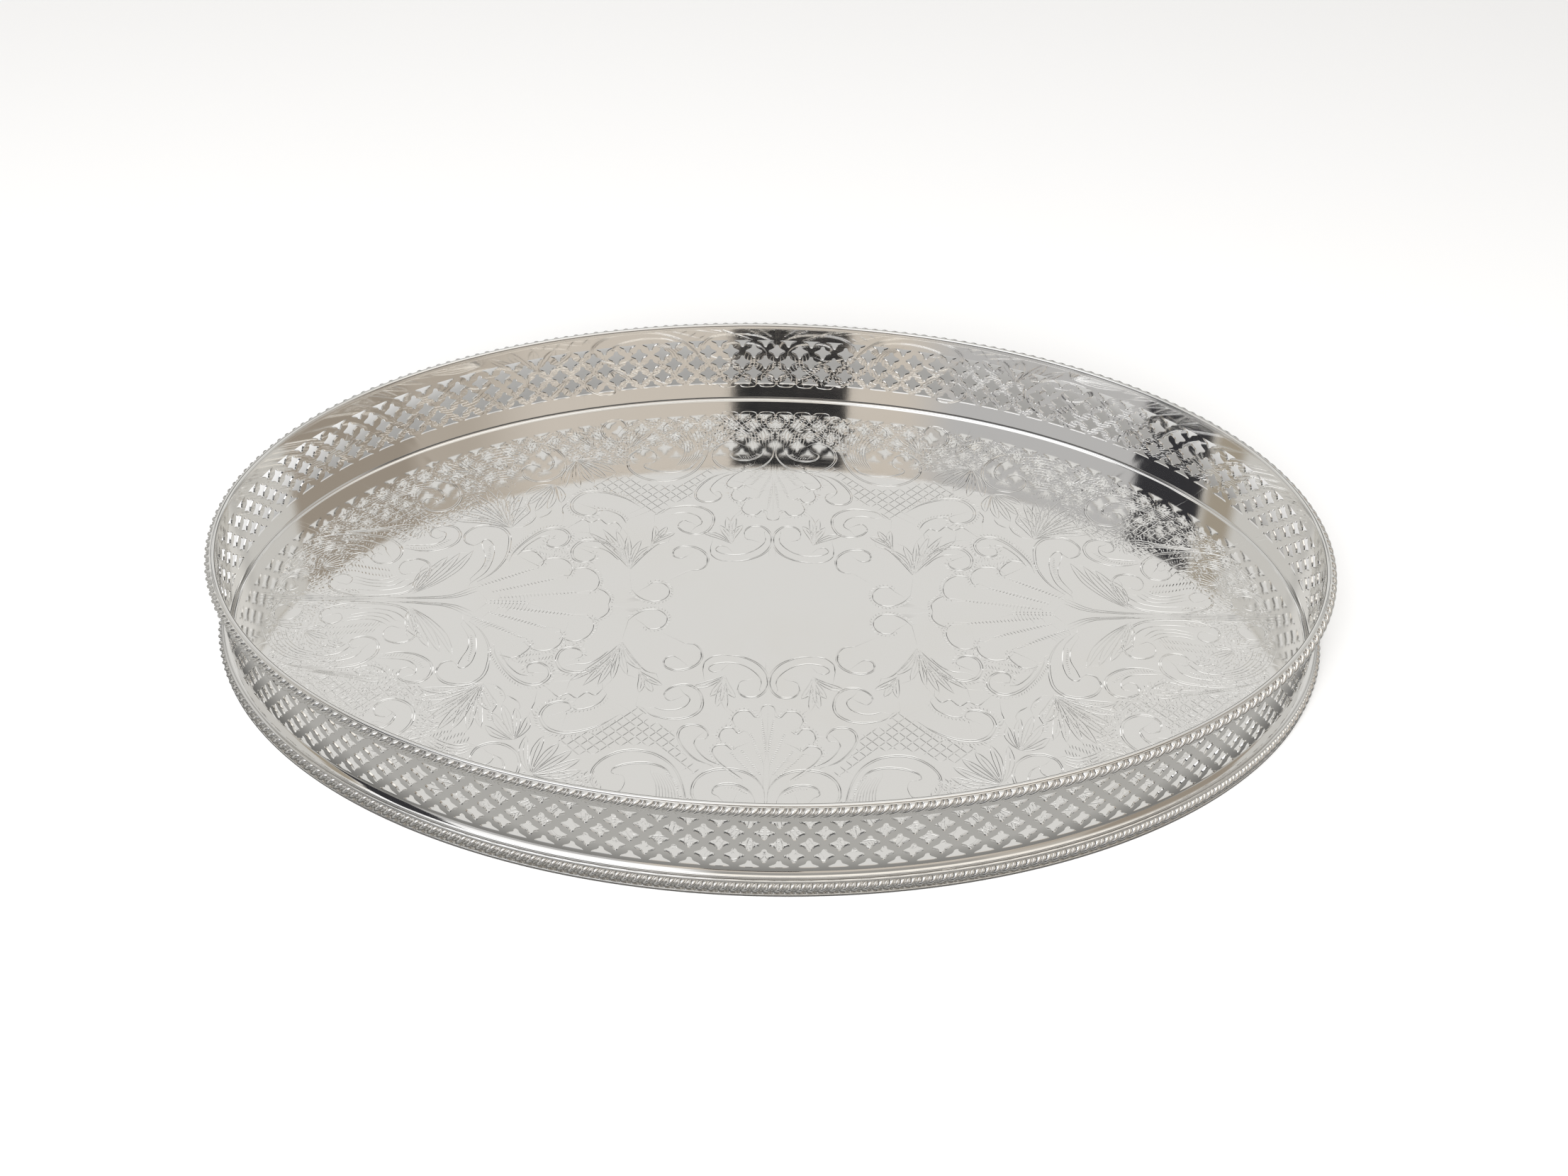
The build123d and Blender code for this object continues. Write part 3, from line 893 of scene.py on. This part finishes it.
def quarter_mesh(lines, a, b):
    """Triangles over one quarter of the oval a x b, with points down each line's middle and both sides."""
    turn = np.linspace(0.0, math.pi / 2.0, 131)
    rim = np.stack([a * np.cos(turn), b * np.sin(turn)], axis=1)
    rim[0, 1] = 0.0
    rim[-1, 0] = 0.0
    middles = []
    sides = []
    for line, half, _ in lines:
        side = normals(line) * (half * taper(len(line)))[:, None]
        middles.append(line)
        sides += [line + side, line - side]
    points = np.vstack(middles + sides)
    points[np.abs(points) < 0.10] = 0.0
    room = np.hypot(points[:, 0] / (a - 0.8), points[:, 1] / (b - 0.8)) < 1.0
    points = points[(points >= 0.0).all(axis=1) & room]
    points = np.vstack([rim, [(0.0, 0.0)], points])
    _, first = np.unique(np.round(points / 0.09).astype(int), axis=0, return_index=True)
    points = points[np.sort(first)]
    verts, _, tris, *_ = delaunay_2d_cdt([(float(x), float(y)) for x, y in points], [], [], 0, 1e-6)
    verts = np.array([tuple(v) for v in verts])
    tris = np.array(tris)
    p, q, r = (verts[tris[:, k]] for k in range(3))
    area = (q[:, 0] - p[:, 0]) * (r[:, 1] - p[:, 1]) - (r[:, 0] - p[:, 0]) * (q[:, 1] - p[:, 1])
    tris[area < 0] = tris[area < 0][:, ::-1]
    return verts, tris[np.abs(area) > 1e-7]


def chased_floor():
    """The sheet with its chasing: four mirrored quarters, a bevelled edge and a flat underside."""
    low, high = sheet_low[2], sheet_high[2]
    bevel_foot = fillet_low[2]
    a, b = sheet_high[0], sheet_high[1]
    bevel = fillet_high[2] - high
    lines = chased_lines()
    deep = depth_map(lines)
    quarter, tris = quarter_mesh(lines, a - bevel, b - bevel)
    places = []
    index = []
    for turn, (sx, sy) in enumerate(((1, 1), (-1, 1), (-1, -1), (1, -1))):
        places.append(quarter * (sx, sy))
        index.append((tris if sx * sy > 0 else tris[:, ::-1]) + turn * len(quarter))
    flat, index = merge(np.concatenate(places), np.concatenate(index))
    height = high - sample(deep, flat)
    top = np.column_stack([flat, height])
    rim = outer_edges(index)
    edge = np.unique(rim)
    angle = np.arctan2(flat[edge, 1] / b, flat[edge, 0] / a)
    edge = edge[np.argsort(angle)]
    angle = np.sort(angle)
    outline = np.stack([a * np.cos(angle), b * np.sin(angle)], axis=1)
    count = len(edge)
    start = len(top)
    points = np.vstack([top, np.column_stack([outline, np.full(count, bevel_foot)]),
                        np.column_stack([outline, np.full(count, low)])])
    faces = index.tolist()
    for k in range(count):
        after = (k + 1) % count
        faces.append([edge[after], edge[k], start + k, start + after])
        faces.append([start + after, start + k, start + count + k, start + count + after])
    faces.append([start + count + k for k in reversed(range(count))])
    piece = make_piece("chased_floor_sheet", points, faces, FLOOR_SILVER, ["floor_sheet"],
                       crease=9.0)
    # untouched metal is shaded flat, so that only the cut lines bend the light
    level = height[index]
    cut = (np.ptp(level, axis=1) > 1e-6).tolist()
    piece.data.polygons.foreach_set("use_smooth", cut + [False] * (len(faces) - len(cut)))


# ---- Studio
def pale_table():
    """Large plain table top under the tray."""
    mesh = bpy.data.meshes.new("table_top")
    reach = 6.0
    mesh.from_pydata([(-reach, -reach, 0.0), (reach, -reach, 0.0), (reach, reach, 0.0), (-reach, reach, 0.0)],
                     [], [(0, 1, 2, 3)])
    table = bpy.data.objects.new("table_top", mesh)
    bpy.context.scene.collection.objects.link(table)
    n = Nodes("table_paper")
    n.shader.inputs["Roughness"].default_value = 0.9
    n.shader.inputs["Specular IOR Level"].default_value = 0.0

    def away(centre_y, half_x, half_y):
        """Distance from a point on the tray's short axis, 1 on an oval of the given half sizes (mm)."""
        spread = n.add("ShaderNodeMapping", vector_type="TEXTURE")
        spread.inputs["Location"].default_value = (0.0, centre_y * MM, 0.0)
        spread.inputs["Scale"].default_value = (half_x * MM, half_y * MM, 1.0)
        n.link(n.coords, spread.inputs["Vector"])
        length = n.add("ShaderNodeVectorMath", operation="LENGTH")
        n.link(spread.outputs["Vector"], length.inputs[0])
        return length.outputs["Value"]

    # painted shadow: the paper's colour is greyer in an oval behind the far side of the gallery, standing in
    # for the soft shade there, where the piercings show it
    shade = n.remap(away(50.0, 256.0, 186.0), 0.92, 1.02)
    n.link(n.mix(shade, (0.50, 0.495, 0.485), (0.9, 0.9, 0.9)), n.shader.inputs["Base Color"])
    # seen directly the table is white; in glossy rays it is a painted glow, an emission of fixed grey standing
    # in for the dimmer table of a lit room mirrored in the silver
    seen = n.add("ShaderNodeLightPath")
    glow = n.add("ShaderNodeEmission")
    # painted shadow: the glow of the strip of table right beside the foot is darker, standing in for the shade
    # under the tray
    beside = n.remap(away(0.0, foot_high[0], foot_high[1]), 1.0, 1.07)
    n.link(n.mix(beside, (0.10, 0.098, 0.094), (0.42, 0.415, 0.40)), glow.inputs["Color"])
    choose = n.add("ShaderNodeMixShader")
    n.link(seen.outputs["Is Glossy Ray"], choose.inputs["Fac"])
    n.link(n.shader.outputs["BSDF"], choose.inputs[1])
    n.link(glow.outputs["Emission"], choose.inputs[2])
    output = n.tree.nodes["Material Output"]
    n.link(choose.outputs["Shader"], output.inputs["Surface"])
    mesh.materials.append(n.material)


def studio_light():
    """A soft room: bright ceiling, pale walls, a warm side with dark shapes behind the viewer.
    Azimuth is in degrees: 0 to the viewer's right, 90 on the far side of the tray, -90 behind the viewer."""
    world = bpy.data.worlds.new("studio")
    bpy.context.scene.world = world
    world.use_nodes = True
    n = NodeTree(world.node_tree)
    direction = n.add("ShaderNodeTexCoord").outputs["Generated"]
    colour = (0.30, 0.297, 0.29)

    def toward(azimuth, elevation, inner, outer):
        """1 within inner degrees of a direction, falling to 0 at outer degrees."""
        az, el = math.radians(azimuth), math.radians(elevation)
        dot = n.add("ShaderNodeVectorMath", operation="DOT_PRODUCT")
        dot.inputs[1].default_value = (math.cos(el) * math.cos(az), math.cos(el) * math.sin(az), math.sin(el))
        n.link(direction, dot.inputs[0])
        return n.remap(dot.outputs["Value"], math.cos(math.radians(outer)), math.cos(math.radians(inner)),
                       interpolation_type="SMOOTHSTEP")

    def panel(azimuth, elevation, width, height, soft):
        """1 inside a rectangle of directions, given in degrees, with a soft edge."""
        turned = n.add("ShaderNodeVectorRotate", rotation_type="Z_AXIS")
        turned.inputs["Angle"].default_value = -math.radians(azimuth)
        n.link(direction, turned.inputs["Vector"])
        split = n.add("ShaderNodeSeparateXYZ")
        n.link(turned.outputs["Vector"], split.inputs["Vector"])
        level = n.math("ARCSINE", split.outputs["Z"])
        swing = n.math("ARCTAN2", split.outputs["Y"], split.outputs["X"])
        edges = []
        for value, centre, size in ((level, elevation, height), (swing, 0.0, width)):
            away = n.math("ABSOLUTE", n.math("SUBTRACT", value, math.radians(centre)))
            edges.append(n.remap(away, math.radians(size / 2.0 + soft), math.radians(size / 2.0 - soft),
                                 interpolation_type="SMOOTHSTEP"))
        return n.math("MULTIPLY", *edges)

    def paint(mask, shade):
        nonlocal colour
        colour = n.mix(mask, colour, shade)

    for end in (0, 180):                                        # pale walls at both ends
        paint(panel(end, 42, 100, 72, 6), (0.60, 0.595, 0.58))
    paint(toward(90, 44, 21, 35), (0.70, 0.695, 0.68))          # pale wall that the floor mirrors
    for side in (50, 130):                                      # dark furniture at both sides of it
        paint(panel(side, 24, 28, 20, 4), (0.10, 0.10, 0.10))
    for side in (49, 131):                                      # a narrow window in each dark side
        paint(panel(side, 28, 7, 12, 2), (1.30, 1.30, 1.30))
    paint(toward(60, 85, 8, 19), (1.05, 1.05, 1.04))            # ceiling light
    paint(panel(90, 4, 60, 30, 6), (0.05, 0.05, 0.05))          # dark foot of that wall
    paint(panel(-90, 8, 130, 26, 7), (0.05, 0.05, 0.05))        # low dark side behind the viewer
    paint(panel(-45, 64, 120, 18, 4), (1.10, 1.06, 1.00))       # skylight above the viewer
    paint(panel(-142, 62, 80, 32, 5), (1.30, 1.32, 1.36))       # tall window behind the viewer's left side
    paint(panel(-115, 35, 80, 24, 5), (0.50, 0.50, 0.51))       # cool grey part of the wall behind the viewer
    paint(panel(-75, 35, 70, 24, 5), (0.62, 0.57, 0.515))       # warm part of it
    paint(panel(-22, 37, 60, 26, 9), (0.45, 0.405, 0.355))      # brown furniture to the right
    paint(panel(-10, 37, 44, 26, 3), (0.33, 0.29, 0.245))       # its shaded half
    paint(panel(-92, 36.5, 14.5, 7, 0.5), (0.025, 0.025, 0.027))    # dark shape on the wall behind the viewer
    paint(panel(200.5, 40, 21, 30, 1.2), (0.035, 0.035, 0.04))  # dark opening to the left
    paint(panel(183, 38, 12, 26, 3), (0.36, 0.32, 0.26))        # brown curtain beside it
    # seen directly, the room is a plain backdrop
    direct = n.add("ShaderNodeLightPath")
    paint(direct.outputs["Is Camera Ray"], (0.90, 0.90, 0.89))
    background = n.tree.nodes["Background"]
    n.link(colour, background.inputs["Color"])
    background.inputs["Strength"].default_value = 1.0


def key_light():
    """One broad lamp above and behind the viewer, for soft shading on the table."""
    data = bpy.data.lights.new("overhead", "AREA")
    data.shape = "RECTANGLE"
    data.size = 1.6
    data.size_y = 1.2
    data.energy = 50.0
    lamp = bpy.data.objects.new("overhead", data)
    lamp.location = (-0.2, -1.5, 1.3)
    lamp.visible_glossy = False
    lamp.rotation_euler = (math.radians(48.0), 0.0, math.radians(-8.0))
    bpy.context.scene.collection.objects.link(lamp)


def spun(angle):
    """Matrix of a turn about Z."""
    return np.array([[math.cos(angle), -math.sin(angle), 0], [math.sin(angle), math.cos(angle), 0], [0, 0, 1]])


def place_camera():
    """The viewer stands in front of the long side and looks down at the tray."""
    look_down = math.radians(41.87)
    turn = math.radians(0.24)
    roll = math.radians(-1.40)
    tray_seen_at = np.array([-6.23, -11.51, 888.87]) * MM   # tray centre: right, up and away from the lens
    tilt = np.array([[1, 0, 0], [0, math.sin(look_down), math.cos(look_down)],
                     [0, math.cos(look_down), -math.sin(look_down)]])
    axes = spun(roll) @ tilt @ spun(turn)
    spot = -axes.T @ tray_seen_at
    data = bpy.data.cameras.new("viewer")
    data.lens = 44.07
    data.sensor_width = 36.0
    data.clip_start = 0.01
    camera = bpy.data.objects.new("viewer", data)
    bpy.context.scene.collection.objects.link(camera)
    right, up, ahead = axes
    camera.matrix_world = Matrix([[right[k], up[k], -ahead[k], spot[k]] for k in range(3)] + [[0, 0, 0, 1]])
    bpy.context.scene.camera = camera


gallery_strip("gallery_strip_back", "gallery_back", 0)
gallery_strip("gallery_strip_front", "gallery_front", COLUMNS // 2)
cap_ring()
top_rope()
moulding_ring()
base_rope()
foot_ring()
fillet_ring()
chased_floor()

pale_table()
studio_light()
key_light()
place_camera()
bpy.context.scene.view_settings.view_transform = "Standard"
